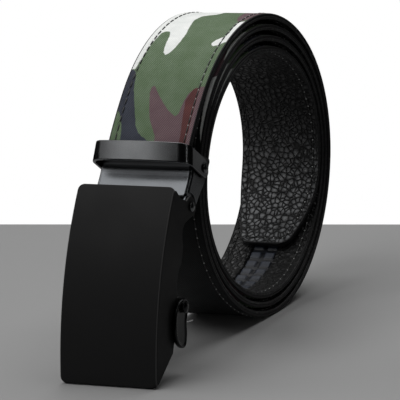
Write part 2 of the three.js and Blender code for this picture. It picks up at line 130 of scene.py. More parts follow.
KEEPER_BOW = 0.7
KEEPER_CORNER = 4.2
KEEPER_DRAWN = 1.6
KEEPER_EAR = 3.7
SHAFT_RADIUS = 1.2
RIVET_HEAD = 2.0
RIVET_DOME = 1.0
DOME_FLATNESS = 0.85
PIN_HEAD = 2.35
PIN_DOME = 1.3
LEVER_LENGTH = 18.6
LEVER_WIDTH = 11.5
LEVER_OUTSIDE = 22.2
WIRE_RADIUS = 0.36


# Side-view directions and lines


def outward(heading):
    """The way out of a strap or plate with this heading: minus its sine in y, its cosine in z."""
    turned = np.radians(heading)
    return np.stack([-np.sin(turned), np.cos(turned)], -1)


def forward(heading):
    """The way along a heading: minus its cosine in y, minus its sine in z."""
    turned = np.radians(heading)
    return np.stack([-np.cos(turned), -np.sin(turned)], -1)


def roll_point(direction):
    """The strap's outer side at a direction from the roll's centre.

    The radius is a circle's with a few lobes, and grows each turn by the strap's thickness and by a gap that
    is widest at the top.
    """
    turned = np.radians(direction)
    lobed = 1 + sum(share * np.cos(count * (turned - math.radians(top))) for count, share, top in LOBES)
    up = np.sin(turned)
    crown = np.where(up > 0, GAPS["top"], GAPS["bottom"])
    gap = GAPS["side"] + GAPS["back"] * np.cos(turned) + crown * up**2
    radius = ROLL_RADIUS * lobed + direction / FULL_TURN * (STRAP_THICK + gap)
    return np.stack([np.cos(turned), np.sin(turned)], -1) * np.asarray(radius)[..., None]


def level_direction():
    """Where the last wrap's lowest chord of one roll step lies level."""
    turns_back = np.linspace(0.75, 0.25, 2000)
    directions = LEAVING_DIRECTION - turns_back * FULL_TURN
    climb = (roll_point(directions + ROLL_STEP / 2) - roll_point(directions - ROLL_STEP / 2))[:, 1]
    return float(np.interp(0, climb, directions))


def arc_from(point, start, end, radius, spacing=1.0):
    """Points of an arc that leaves a point with one heading and ends with another, at even angles."""
    count = max(6, int(abs(math.radians(end - start)) * radius / spacing))
    bend = math.copysign(radius, end - start)
    centre = point - bend * outward(start)
    return centre + bend * outward(np.linspace(start, end, count + 1)[1:])


def strap_line():
    """The strap's outer side from its tip to the clip, and where the clip starts: the roll, then arcs."""
    level = level_direction() + ROLL_STEP / 2
    leaving = level + ROLL_STEP * math.floor((LEAVING_DIRECTION - level) / ROLL_STEP)
    roll = roll_point(np.linspace(TIP_DIRECTION, leaving, ROLL_POINTS))
    chord = roll_point(leaving) - roll_point(leaving - ROLL_STEP)
    heading = math.degrees(math.atan2(-chord[1], -chord[0])) + ROLL_STEP / 2
    pieces = [roll]
    for start, end, radius in (
        (heading, FALL_HEADING, np.linalg.norm(roll[-1]) + FALL_ROOM),
        (FALL_HEADING, KEEPER_HEADING, EASY_RADIUS),
        (KEEPER_HEADING, MOUTH_HEADING, MOUTH_RADIUS),
        (MOUTH_HEADING, CLIP_HEADING, MOUTH_RADIUS),
    ):
        pieces.append(arc_from(pieces[-1][-1], start, end, radius))
    clip_start = pieces[-1][-1]
    pieces.append(clip_start + np.array([[0.5], [1.0]]) * CLAMPED * forward(CLIP_HEADING))
    return np.vstack(pieces), clip_start


LINE, CLIP_START = strap_line()
STEPS = np.linalg.norm(np.diff(LINE, axis=0), axis=1)
RUNS = np.concatenate([[0], np.cumsum(STEPS)])
STRAP_LENGTH = RUNS[-1]
TANGENTS = np.gradient(LINE, RUNS, axis=0)
TANGENTS /= np.linalg.norm(TANGENTS, axis=1, keepdims=True)
NORMALS = np.stack([TANGENTS[:, 1], -TANGENTS[:, 0]], -1)

HINGE = CLIP_START + HINGE_DROP * forward(CLIP_HEADING) - HINGE_SETBACK * outward(CLIP_HEADING)
KEEPER_PIVOT = CLIP_START + KEEPER_ALONG * forward(CLIP_HEADING) - KEEPER_SETBACK * outward(CLIP_HEADING)
hinge_place = np.array(joints["face_hinge"]["pos_m"]) / MM
SHIFT = hinge_place - np.array([0, HINGE[0], HINGE[1]])


def in_world(x, side):
    """Metres in the CAD's frame from x across and side-view points, both in millimetres."""
    x = np.broadcast_to(x, side.shape[:-1])
    return (np.concatenate([x[..., None], side], -1) + SHIFT) * MM


def strap_at(run, depth):
    """Side-view points at a run from the tip and a depth under the outer side."""
    run, depth = np.broadcast_arrays(run, depth)
    point = np.stack([np.interp(run, RUNS, LINE[:, axis]) for axis in (0, 1)], -1)
    normal = np.stack([np.interp(run, RUNS, NORMALS[:, axis]) for axis in (0, 1)], -1)
    return point - normal * depth[..., None]


def strap_half(run):
    """Half the strap's width at a run: it flares from the tip like a sine, with the tip's corners round."""
    flare = np.sin(np.pi / 2 * np.clip(run / TIP_TAPER, 0, 1))
    short = np.clip(TIP_CORNER - run, 0, None)
    corner = TIP_CORNER - np.sqrt(TIP_CORNER**2 - short**2)
    return TIP_HALF + (STRAP_HALF - TIP_HALF) * flare - corner


# Meshes


def grid_quads(rows, columns, close_columns=False):
    """Corner numbers of a grid's quads, row by row: each runs round from here to beside, below and back."""
    down = np.arange(rows - 1)
    across = np.arange(columns if close_columns else columns - 1)
    here, along = np.meshgrid(down * columns, across, indexing="ij")
    there, beside = here + columns, (along + 1) % columns
    return np.stack([here + along, here + beside, there + beside, there + along], -1).reshape(-1, 4)


def make_piece(name, points, quads, caps=(), uv=None):
    """A mesh object from points in metres, smooth quads and flat end faces, with a uv for each point."""
    mesh = bpy.data.meshes.new(name)
    faces = quads.tolist() + [list(map(int, cap)) for cap in caps]
    mesh.from_pydata(points.reshape(-1, 3).tolist(), [], faces)
    mesh.polygons.foreach_set("use_smooth", np.arange(len(faces)) < len(quads))
    if uv is not None:
        corners = np.zeros(len(mesh.loops), np.int32)
        mesh.loops.foreach_get("vertex_index", corners)
        layer = mesh.uv_layers.new(name="UVMap")
        layer.data.foreach_set("uv", uv.reshape(-1, 2)[corners].astype(np.float32).ravel())
    mesh.validate()
    mesh.update()
    piece = bpy.data.objects.new(name, mesh)
    bpy.context.scene.collection.objects.link(piece)
    return piece


def fit_out(piece, body, material, nodes=()):
    """Gives a piece its body, its finish and the CAD nodes that it stands for."""
    piece.data.materials.append(material)
    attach(piece, body)
    if nodes:
        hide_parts(*nodes)
    return piece


def circle(count):
    """The cosine and sine of angles at even steps all the way round."""
    angles = np.linspace(0, 2 * np.pi, count + 1)[:-1]
    return np.stack([np.cos(angles), np.sin(angles)], -1)


def skin_over(rings):
    """Points, quads and end faces of a closed skin through closed rings of points."""
    rows, columns = rings.shape[:2]
    first = np.arange(columns)[::-1]
    last = np.arange(columns) + (rows - 1) * columns
    return rings.reshape(-1, 3), grid_quads(rows, columns, close_columns=True), [first, last]


def tube(name, rings, uv=None):
    """A piece that is one closed skin through closed rings."""
    return make_piece(name, *skin_over(rings), uv=uv)


def assembled(name, skins, sharp_from=35):
    """A piece of several closed skins, with an edge left crisp where its faces turn by more than an angle."""
    points, quads, caps, start = [], [], [], 0
    for skin_points, skin_quads, skin_caps in skins:
        points.append(skin_points)
        quads.append(skin_quads + start)
        caps += [cap + start for cap in skin_caps]
        start += len(skin_points)
    piece = make_piece(name, np.concatenate(points), np.concatenate(quads), caps)
    piece.data.set_sharp_from_angle(angle=math.radians(sharp_from))
    evened = piece.modifiers.new("even_shading", "WEIGHTED_NORMAL")
    evened.keep_sharp = True
    return piece


# Strap plies: a grid of runs by places across, where the places near the edges keep their distance to it

EDGE_STEPS = np.array([0, 0.04, 0.14, 0.3, 0.55, 0.9, 1.5, 2.2, 2.55, 2.75, 2.9, 3.05, 3.25, 3.6, 4.2])
SLOT_SIDES = (-0.447, -0.425, 0.425, 0.447)
INNER_SHARES = np.sort(np.concatenate([np.linspace(-1, 1, 31), SLOT_SIDES]))[1:-1]
GROOVE_DEPTH, GROOVE_WIDTH = 0.16, 0.42
SWELL_HEIGHT, SWELL_INSET, SWELL_WIDTH = 0.1, 1.4, 1.1
SKIN_DEPTH = 0.1
SLOT_DEPTH = 1.05
BEAD_HEIGHT, BEAD_OUT, BEAD_WIDTH = 0.14, 0.6, 0.35
BACK_INSET = 0.12


def ply_columns(run):
    """x across the strap for each run, from one edge to the other, and its distance to the nearest edge."""
    half = strap_half(run)[:, None]
    left = -half + EDGE_STEPS
    middle = INNER_SHARES * (half - EDGE_STEPS[-1])
    x = np.concatenate([left, middle, -left[:, ::-1]], 1)
    return x, np.minimum(half - np.abs(x), run[:, None])


def edge_fall(inset):
    """How far a ply's skin drops near its edge.

    A quarter circle at the edge, plus a bell curve for the stitches' groove, less one for the swell outside.
    """
    near = np.clip(EDGE_ROUND - inset, 0, None)
    groove = GROOVE_DEPTH * np.exp(-(((inset - STITCH_INSET) / GROOVE_WIDTH) ** 2))
    swell = SWELL_HEIGHT * np.exp(-(((inset - SWELL_INSET) / SWELL_WIDTH) ** 2))
    return EDGE_ROUND - np.sqrt(EDGE_ROUND**2 - near**2) + groove - swell + SKIN_DEPTH


def past_track(run):
    """How far runs lie beyond the track's nearer end: the distance to its middle less half its length."""
    return np.abs(run - TRACK_FROM - TRACK_LENGTH / 2) - TRACK_LENGTH / 2


def slot_share(x, run):
    """1 in the lining's slot for the track, 0 outside it, with soft sides: a ramp across times one along."""
    across = np.clip((SLOT_HALF - np.abs(x)) / 0.25 + 0.5, 0, 1)
    along = np.clip(-past_track(run) / 0.5, 0, 1)
    return across * along


def ply_rings(run, skin, back_depth):
    """Rings of a ply: its skin from edge to edge at the depths of skin(x, inset), then its flat back.

    Gives the points, their (x, run) in millimetres, and their distance to the nearest edge, 0 on the back.
    """
    x, inset = ply_columns(run)
    back_x = np.stack([x[:, -1] - BACK_INSET, x[:, -1] * 0, x[:, 0] + BACK_INSET], 1)
    whole_x = np.concatenate([x, back_x], 1)
    whole_depth = np.concatenate([skin(x, inset), np.full(back_x.shape, back_depth)], 1)
    points = in_world(whole_x, strap_at(run[:, None], whole_depth))
    place = np.stack([whole_x, np.broadcast_to(run[:, None], whole_x.shape)], -1)
    return points, place, np.concatenate([inset, np.zeros(back_x.shape)], 1)


# The print: each shape is a closed outline of (x across, run), and it comes again after each repeat. One
# stretch of the strap behind the buckle is painted black all over as shade, with one white shape in it.

PRINT_REPEAT = 174
PAINTED_SHADE_STRETCH = (888, 1045)
WHITE_IN_BLACK = ((15.1, 884), (19, 882), (19, 915), (17.2, 914), (16, 908), (15.4, 898))
PRINT_END = 1324.2
PRINT = {
    "print_white": (
        ((-19, 1190), (-16, 1200), (-12, 1204.5), (-10, 1204), (-8.5, 1207.5), (-6, 1209), (-3, 1212),
         (-1, 1218), (0, 1224), (-0.5, 1228), (-3, 1230), (-5, 1232), (-5.5, 1238), (-4, 1246),
         (-2.8, 1252), (-2.7, 1258),
         (-3.4, 1263), (-4.4, 1266), (-5.8, 1267.2), (-7.1, 1265.4), (-8.2, 1260.5), (-9.1, 1254),
         (-10.5, 1250.5), (-12.5, 1250.5), (-13.6, 1252), (-14, 1256), (-14.5, 1262), (-15, 1270),
         (-15.5, 1275.5), (-19, 1275.5)),
        ((19, 1238), (14.6, 1240.2), (14, 1241.5), (14.8, 1246), (15.3, 1251), (15, 1253.5), (13.5, 1255),
         (11.5, 1257.5), (11, 1260), (12.3, 1261), (14.5, 1260.2), (16, 1258.5), (19, 1257.5)),
        ((19, 1196), (15.8, 1200), (15.6, 1212), (16.8, 1222), (19, 1224)),
    ),
    "print_wine": (
        ((-7, 1184), (-3, 1198), (2, 1204), (6, 1210), (8.5, 1218), (10, 1226), (11, 1232), (12.5, 1237),
         (14.5, 1240), (16, 1238), (19, 1232), (19, 1224), (16.5, 1221), (15.5, 1213), (12, 1206), (7, 1201),
         (3, 1195), (1, 1186), (-3, 1180)),
        ((-5.5, 1284), (-4.3, 1283.5), (-2, 1287), (2, 1292), (5, 1295), (8, 1297.2), (9.3, 1296),
         (9.8, 1291), (10.8, 1287), (13, 1284.3), (15.5, 1283.5), (19, 1283.5), (19, 1316), (12, 1322),
         (5, 1319), (2.5, 1310), (1.5, 1305.5), (-0.5, 1302), (-2.2, 1299), (-3.5, 1295), (-4.8, 1290),
         (-5.6, 1286.5)),
        ((-19, 1158), (-13, 1156), (-9, 1160), (-8, 1167), (-11, 1172), (-15, 1170), (-19, 1173)),
    ),
    "print_red": (
        ((10.5, 1290), (12.5, 1284.5), (15, 1284), (15.2, 1300), (15.4, 1318), (12.8, 1318), (12.3, 1305),
         (11.3, 1297)),
    ),
    "print_navy": (
        ((-19, 1275.5), (-15.5, 1276), (-14, 1279), (-13, 1285), (-11, 1291), (-9, 1297), (-7.2, 1302.5),
         (-5, 1305.5), (-1.5, 1307.5), (1, 1312), (0, 1320), (-6, 1326), (-12, 1322), (-12.5, 1309),
         (-13, 1304), (-14.5, 1299), (-16, 1296), (-19, 1294)),
        ((2, 1160), (7, 1156), (12, 1159), (15, 1166), (19, 1168), (19, 1182), (14, 1184), (10, 1178),
         (6, 1172), (3, 1167)),
    ),
}


def outline_distance(points, outline):
    """Signed distance of points to a closed outline: to the nearest of its sides, and negative inside."""
    starts = np.array(outline, float)
    sides = np.roll(starts, -1, axis=0) - starts
    from_start = points[:, None, :] - starts
    share = np.clip((from_start * sides).sum(-1) / (sides**2).sum(-1), 0, 1)
    nearest = np.linalg.norm(from_start - share[..., None] * sides, axis=-1).min(1)
    ends = starts + sides
    spans = (starts[:, 1] > points[:, 1:2]) != (ends[:, 1] > points[:, 1:2])
    rise = np.where(np.abs(sides[:, 1]) < 1e-9, 1e-9, sides[:, 1])
    crossing = starts[:, 0] + (points[:, 1:2] - starts[:, 1]) / rise * sides[:, 0]
    inside = (spans & (points[:, 0:1] < crossing)).sum(1) % 2 == 1
    return np.where(inside, -nearest, nearest)


def print_distance(place, outlines):
    """Distance to the nearest of a colour's shapes, in this repeat of the print and in its neighbours."""
    x, run = place.reshape(-1, 2).T
    run = PRINT_END - PRINT_REPEAT + np.mod(run - STRAP_LENGTH, PRINT_REPEAT)
    found = np.full(x.size, np.inf)
    for turn in (-PRINT_REPEAT, 0, PRINT_REPEAT):
        points = np.stack([x, run + turn], -1)
        for outline in outlines:
            found = np.minimum(found, outline_distance(points, outline))
    return found


def print_and_shade_values(place):
    """Each colour's distance, with the white shape cut out of the black stretch of painted shade and added to
    the white.
    """
    values = {name: print_distance(place, outlines) for name, outlines in PRINT.items()}
    white = outline_distance(place.reshape(-1, 2), WHITE_IN_BLACK)
    # Painted shade: the stretch of the strap behind the buckle is coloured black all over.
    black = np.maximum(PAINTED_SHADE_STRETCH[0] - place[..., 1], place[..., 1] - PAINTED_SHADE_STRETCH[1]).ravel()
    values["print_white"] = np.minimum(values["print_white"], white)
    values["painted_shade_black"] = np.maximum(black, -white)
    return values


# Materials


def socket_name(word):
    """The shader's socket for a keyword: its words with capitals, such as Base Color."""
    return " ".join(part if part.isupper() else part.title() for part in word.split("_"))


class Finish:
    """A material with one Principled shader, and short ways to add nodes to it."""

    def __init__(self, name, colour, roughness, metallic=0.0, **more):
        """Sets the shader's own sockets: colour, roughness, metal or not, and more by their names."""
        self.material = bpy.data.materials.new(name)
        self.material.use_nodes = True
        self.material.diffuse_color = (*colour, 1)
        self.tree = self.material.node_tree
        self.shader = self.tree.nodes["Principled BSDF"]
        self.shader.inputs["Base Color"].default_value = (*colour, 1)
        self.shader.inputs["Roughness"].default_value = roughness
        self.shader.inputs["Metallic"].default_value = metallic
        for socket, value in more.items():
            self.shader.inputs[socket_name(socket)].default_value = value

    def node(self, kind, inputs=None, **settings):
        """Adds a node with its settings, and links or fills the inputs given."""
        made = self.tree.nodes.new("ShaderNode" + kind)
        for key, value in settings.items():
            setattr(made, key, value)
        for socket, value in (inputs or {}).items():
            if isinstance(value, bpy.types.NodeSocket):
                self.tree.links.new(value, made.inputs[socket])
            else:
                made.inputs[socket].default_value = value
        return made

    def uv(self, turn=0.0):
        """Metres across and along the strap, turned by an angle."""
        place = self.node("TexCoord").outputs["UV"]
        inputs = {"Vector": place, "Scale": (1, 1, 1), "Rotation": (0, 0, math.radians(turn))}
        return self.node("Mapping", inputs).outputs["Vector"]

    def spot(self, scale=(1, 1, 1)):
        """The place in the piece, in metres, stretched by a scale."""
        place = self.node("TexCoord").outputs["Object"]
        return self.node("Mapping", {"Vector": place, "Scale": scale}).outputs["Vector"]

    def noise(self, vector, scale, detail=2.0):
        """Cloudy noise from 0 to 1."""
        return self.node("TexNoise", {"Vector": vector, "Scale": scale, "Detail": detail}).outputs["Fac"]

    def number(self, operation, a, b=0.0):
        """One step of arithmetic."""
        return self.node("Math", {0: a, 1: b}, operation=operation).outputs[0]

    def spread(self, value, low, high, to_low=0.0, to_high=1.0, smooth=False):
        """Carries the range from low to high over to another, and stays at its ends beyond them."""
        kind = "SMOOTHSTEP" if smooth else "LINEAR"
        inputs = {0: value, 1: low, 2: high, 3: to_low, 4: to_high}
        return self.node("MapRange", inputs, interpolation_type=kind).outputs[0]

    def mix(self, share, a, b, blend="MIX"):
        """Colour a, turning into colour b as the share grows."""
        made = self.node("Mix", {0: share}, data_type="RGBA", blend_type=blend)
        for socket, value in ((6, a), (7, b)):
            if isinstance(value, bpy.types.NodeSocket):
                self.tree.links.new(value, made.inputs[socket])
            else:
                made.inputs[socket].default_value = (*value, 1)
        return made.outputs[2]

    def named(self, name):
        """A value that the mesh carries at its points."""
        return self.node("Attribute", attribute_name=name).outputs["Fac"]

    def bump(self, height, distance, strength=1.0):
        """The slope of a relief that is a distance in metres high."""
        inputs = {"Height": height, "Distance": distance, "Strength": strength}
        return self.node("Bump", inputs).outputs["Normal"]

    def set(self, **sockets):
        """Links values to the shader and gives the finished material."""
        for socket, value in sockets.items():
            self.tree.links.new(value, self.shader.inputs[socket_name(socket)])
        return self.material


TIP_LIGHT = (12, 66)
PEBBLES = 460.0
# Colour of the painted highlight along the face plate's right rim.
RIM_HIGHLIGHT = (0.045, 0.045, 0.045)
PRINT_BLUR = 0.14
PRINT_AND_SHADE_TONES = (
    ("print_navy", (0.024, 0.028, 0.042), (0.033, 0.038, 0.055)),
    ("print_wine", (0.11, 0.065, 0.075), (0.13, 0.082, 0.09)),
    ("print_red", (0.07, 0.018, 0.018), (0.1, 0.028, 0.026)),
    ("print_white", (0.74, 0.76, 0.74), (0.84, 0.85, 0.83)),
    # The black one is painted shade behind the buckle, not print.
    ("painted_shade_black", (0.007, 0.008, 0.008), (0.01, 0.011, 0.011)),
)


def camouflage_finish():
    """Coated canvas: four printed colours and a stretch painted black as shade, over green, a faint cloud in
    each, and the weave in relief.
    """
    finish = Finish("camouflage_canvas", (0.12, 0.17, 0.11), 0.5, specular_IOR_level=0.15)
    metres = finish.uv()
    cloud = finish.spread(finish.noise(metres, 130, 3), 0.35, 0.65)
    grain = finish.noise(metres, 1500, 2)
    wobble = finish.spread(finish.noise(metres, 700, 2), 0, 1, -0.28, 0.28)
    plain = finish.mix(cloud, (0.088, 0.135, 0.07), (0.112, 0.16, 0.095))
    for name, dark, light in PRINT_AND_SHADE_TONES:
        distance = finish.number("ADD", finish.named(name), wobble)
        inside = finish.spread(distance, -PRINT_BLUR, PRINT_BLUR, 1.0, 0.0)
        plain = finish.mix(inside, plain, finish.mix(cloud, dark, light))
    slanted = finish.uv(45)
    warp = finish.node("TexWave", {"Vector": slanted, "Scale": WEAVE}, bands_direction="X").outputs["Fac"]
    weft = finish.node("TexWave", {"Vector": slanted, "Scale": WEAVE}, bands_direction="Y").outputs["Fac"]
    weave = finish.number("MULTIPLY", warp, weft)
    shade = finish.spread(weave, 0.0, 0.8, 0.55, 2.2)
    grey = finish.node("CombineColor", {0: shade, 1: shade, 2: shade}).outputs[0]
    woven = finish.mix(1.0, plain, grey, "MULTIPLY")
    white = finish.spread(finish.named("print_white"), -PRINT_BLUR, PRINT_BLUR, 0.85, 0.0)
    edge = finish.spread(finish.named("edge_inset"), 0.55, 0.8, 1.0, 0.0)
    colour = finish.mix(edge, finish.mix(white, woven, plain), BLACK_PAINT)
    height = finish.number("ADD", weave, grain)
    height = finish.number("MULTIPLY", height, finish.spread(edge, 0, 1, 1.0, 0.0))
    return finish.set(
        base_color=colour,
        roughness=finish.spread(weave, 0.0, 0.8, 0.6, 0.4),
        normal=finish.bump(height, 0.00008, 0.8),
    )


def lining_finish():
    """Pebbled leather: bent cells parted by fine creases. Their tops carry a painted highlight, much lighter
    near the strap's tip, and the creases and the seam's groove are painted shade.
    """
    finish = Finish("pebbled_lining", (0.03, 0.031, 0.032), 0.42, specular_IOR_level=0.3)
    metres = finish.uv()
    bend = finish.node("TexNoise", {"Vector": metres, "Scale": 420.0, "Detail": 2.0}).outputs["Color"]
    warped = finish.node("VectorMath", {0: bend, 1: (0.0003, 0.0003, 0)}, operation="MULTIPLY").outputs[0]
    place = finish.node("VectorMath", {0: metres, 1: warped}, operation="ADD").outputs[0]
    sizes = {"Vector": place, "Scale": PEBBLES}
    cells = finish.node("TexVoronoi", sizes).outputs["Distance"]
    creases = finish.node("TexVoronoi", sizes, feature="DISTANCE_TO_EDGE").outputs["Distance"]
    pebble = finish.spread(cells, 0.1, 0.85, 1.0, 0.3, smooth=True)
    parted = finish.spread(creases, 0.0, 0.17, 0.0, 1.0, smooth=True)
    inset = finish.named("edge_inset")
    from_seam = finish.number("ABSOLUTE", finish.number("SUBTRACT", inset, STITCH_INSET))
    # Painted shade: the pebbles' tops go dark along the seam's groove.
    flat = finish.spread(from_seam, 0.2, 0.6, 0.1, 1.0, smooth=True)
    crown = finish.number("MULTIPLY", finish.number("MULTIPLY", pebble, parted), flat)
    run = finish.node("SeparateXYZ", {0: metres}).outputs[1]
    # Painted light: the pebbles' tops are far lighter near the strap's tip, where light falls through the
    # roll.
    tip = finish.spread(run, TIP_LIGHT[0] * MM, TIP_LIGHT[1] * MM, 1.0, 0.0, smooth=True)
    top = finish.mix(tip, (0.014, 0.014, 0.0145), (0.15, 0.154, 0.159))
    # Painted highlight on the pebbles' tops and painted shade in the creases between them.
    colour = finish.mix(crown, (0.0006, 0.0006, 0.0006), top)
    edge = finish.spread(inset, 0.4, 0.8, 1.0, 0.0)
    height = finish.number("ADD", pebble, parted)
    height = finish.number("MULTIPLY", height, finish.spread(edge, 0, 1, 1.0, 0.0))
    return finish.set(
        base_color=finish.mix(edge, colour, BLACK_PAINT),
        roughness=finish.spread(crown, 0, 1, 0.62, 0.34),
        normal=finish.bump(height, 0.0004, 1.0),
    )


def coated_finish(name, colour, roughness, grain, metallic=0.0, specular=0.5, rim_highlight_at=None):
    """Sprayed metal: even colour, a fine orange-peel relief and a little cloud in the gloss.

    Between two places across, given by the last argument, the colour is lighter: a painted highlight along a
    rim.
    """
    finish = Finish(name, colour, roughness, metallic, specular_IOR_level=specular)
    place = finish.spot()
    speck = finish.noise(place, 2600, 2)
    cloud = finish.noise(place, 60, 3)
    darker = tuple(share * 0.8 for share in colour)
    tone = finish.mix(cloud, darker, colour)
    if rim_highlight_at:
        across = finish.node("SeparateXYZ", {0: place}).outputs[0]
        start = finish.spread(across, (rim_highlight_at[0] - 0.1) * MM, (rim_highlight_at[0] + 0.1) * MM, smooth=True)
        end = finish.spread(across, (rim_highlight_at[1] - 0.05) * MM, (rim_highlight_at[1] + 0.05) * MM, 1.0, 0.0, smooth=True)
        tone = finish.mix(finish.number("MULTIPLY", start, end), tone, RIM_HIGHLIGHT)
    return finish.set(
        base_color=tone,
        roughness=finish.spread(cloud, 0.3, 0.7, roughness - 0.04, roughness + 0.05),
        normal=finish.bump(speck, grain, 0.5),
    )


# Painted shadow of the keeper: between these places along the clip, before its start, the metal turns from
# black to its own colour.
KEEPER_SHADOW = (-6.5, -0.5)


def clip_finish():
    """Satin metal, painted dark at the clip's mouth as the keeper's shadow.

    How far down the clip a place lies is its dot product with the way along the clip's heading.
    """
    colour, black = (0.084, 0.088, 0.093), (0.004, 0.004, 0.004)
    finish = Finish("satin_clip_metal", colour, 0.23, 1.0)
    down = forward(CLIP_HEADING)
    start = (CLIP_START + SHIFT[1:]) @ down
    place = finish.spot()
    along = finish.node("VectorMath", {0: place, 1: (0, *down)}, operation="DOT_PRODUCT").outputs["Value"]
    # Painted shadow: black towards the mouth, the metal's own colour further down.
    unshadowed = finish.spread(along, (start + KEEPER_SHADOW[0]) * MM, (start + KEEPER_SHADOW[1]) * MM, smooth=True)
    cloud = finish.noise(place, 60, 3)
    return finish.set(
        base_color=finish.mix(unshadowed, black, colour),
        roughness=finish.spread(cloud, 0.3, 0.7, 0.2, 0.27),
    )


def brushed_finish(name, colour, roughness):
    """Bare satin metal: fine scratches along x, with a slow change of tone."""
    finish = Finish(name, colour, roughness, 1.0)
    lines = finish.noise(finish.spot((60, 2500, 2500)), 1.0, 3)
    cloud = finish.noise(finish.spot(), 90, 2)
    darker = tuple(share * 0.85 for share in colour)
    return finish.set(
        base_color=finish.mix(cloud, darker, colour),
        roughness=finish.spread(lines, 0.3, 0.7, roughness - 0.05, roughness + 0.07),
        normal=finish.bump(lines, 0.000015, 0.5),
    )


def moulded_finish():
    """Moulded plastic: blue grey teeth with a faint grain, over a base painted dark as shade between the
    teeth.
    """
    finish = Finish("track_plastic", (0.02, 0.025, 0.036), 0.42, specular_IOR_level=0.3)
    speck = finish.noise(finish.spot(), 1800, 2)
    tooth = finish.mix(speck, (0.022, 0.027, 0.04), (0.034, 0.041, 0.058))
    return finish.set(
        # Painted shade: the base between the teeth is near black.
        base_color=finish.mix(finish.named("raised"), (0.004, 0.005, 0.008), tooth),
        normal=finish.bump(speck, 0.00002, 0.4),
    )


def thread_finish(name, dark, light):
    """Twisted thread: slanting bands of light and dark."""
    finish = Finish(name, dark, 0.5)
    bands = finish.node("TexWave", {"Vector": finish.spot(), "Scale": 1400.0}, bands_direction="DIAGONAL")
    return finish.set(
        base_color=finish.mix(bands.outputs["Fac"], dark, light),
        normal=finish.bump(bands.outputs["Fac"], 0.00005, 0.6),
    )


camouflage = camouflage_finish()
lining = lining_finish()
right_edge = PLATE_HALF + SHIFT[0]
# Painted highlight: a lighter band just inside the face plate's right edge.
matt_black = coated_finish("matt_black_coat", (0.005, 0.005, 0.0052), 0.5, 0.00002, specular=0.13,
                           rim_highlight_at=(right_edge - 0.5, right_edge - 0.08))
lever_black = coated_finish("satin_lever_coat", (0.02, 0.0205, 0.021), 0.25, 0.000004, metallic=1.0)
satin_black = coated_finish("satin_black_coat", (0.12, 0.123, 0.126), 0.22, 0.000004, metallic=1.0)
clip_metal = clip_finish()
pawl_metal = brushed_finish("pawl_metal", (0.25, 0.27, 0.3), 0.35)
bright_metal = brushed_finish("bright_spring_metal", (0.7, 0.7, 0.7), 0.25)
track_plastic = moulded_finish()
thread = thread_finish("black_thread", (0.003, 0.003, 0.003), (0.015, 0.015, 0.015))
# Painted glints: the pale thread's colour.
glint_thread = thread_finish("glint_thread", (0.28, 0.285, 0.28), (0.6, 0.61, 0.6))


def name_values(piece, **values):
    """Stores a value for each of the mesh's points under each name, for the finish to read."""
    for name, value in values.items():
        attribute = piece.data.attributes.new(name, "FLOAT", "POINT")
        attribute.data.foreach_set("value", value.ravel().astype(np.float32))


def make_strap():
    """Both plies: the distances to the print and to the stretch of painted shade, and the distance to the
    edge, go with them as values of their points.

    The lining's skin lies lower in the track's slot, and swells to a bead along both of its sides.
    """
    run = np.unique(np.concatenate([EDGE_STEPS + 0.001, RUNS[RUNS > EDGE_STEPS[-1] + 0.5]]))
    rings, place, inset = ply_rings(run, lambda x, inset: edge_fall(inset), PLY_JOIN)
    face = tube("strap_face_skin", rings, uv=place * MM)
    name_values(face, **print_and_shade_values(place), edge_inset=inset)
    fit_out(face, "belt", camouflage, ["strap_face"])

    slot_ends = np.array([TRACK_FROM, TRACK_FROM + TRACK_LENGTH])[:, None] + np.array([-0.1, 0.4, -0.4])
    run = np.unique(np.concatenate([run, slot_ends.ravel()]))

    def slotted(x, inset):
        """Depths of the lining's skin under the strap's outer side."""
        bead = BEAD_HEIGHT * np.exp(-(((np.abs(x) - SLOT_HALF - BEAD_OUT) / BEAD_WIDTH) ** 2))
        bead = bead * (past_track(run[:, None]) < 0)
        return STRAP_THICK - edge_fall(inset) - slot_share(x, run[:, None]) * SLOT_DEPTH + bead

    rings, place, inset = ply_rings(run, slotted, PLY_JOIN + GLUE)
    back = tube("strap_lining_skin", rings[:, ::-1], uv=place[:, ::-1] * MM)
    name_values(back, edge_inset=inset[:, ::-1])
    fit_out(back, "belt", lining, ["strap_lining"])


THREAD_SIDES = 6
THREAD_DEPTH = 0.12
TIP_STEPS = 8


def sewn_line():
    """x and run along the seam on the right, from the middle of the tip, at the stitches' inset."""
    onward = np.arange(STITCH_INSET + 0.5, STRAP_LENGTH - 7, 0.5)
    run = np.concatenate([np.full(TIP_STEPS, STITCH_INSET), onward])
    x = strap_half(run) - STITCH_INSET
    x[:TIP_STEPS] = np.linspace(0, x[TIP_STEPS] - 1.2, TIP_STEPS)
    return np.stack([x, run], -1)


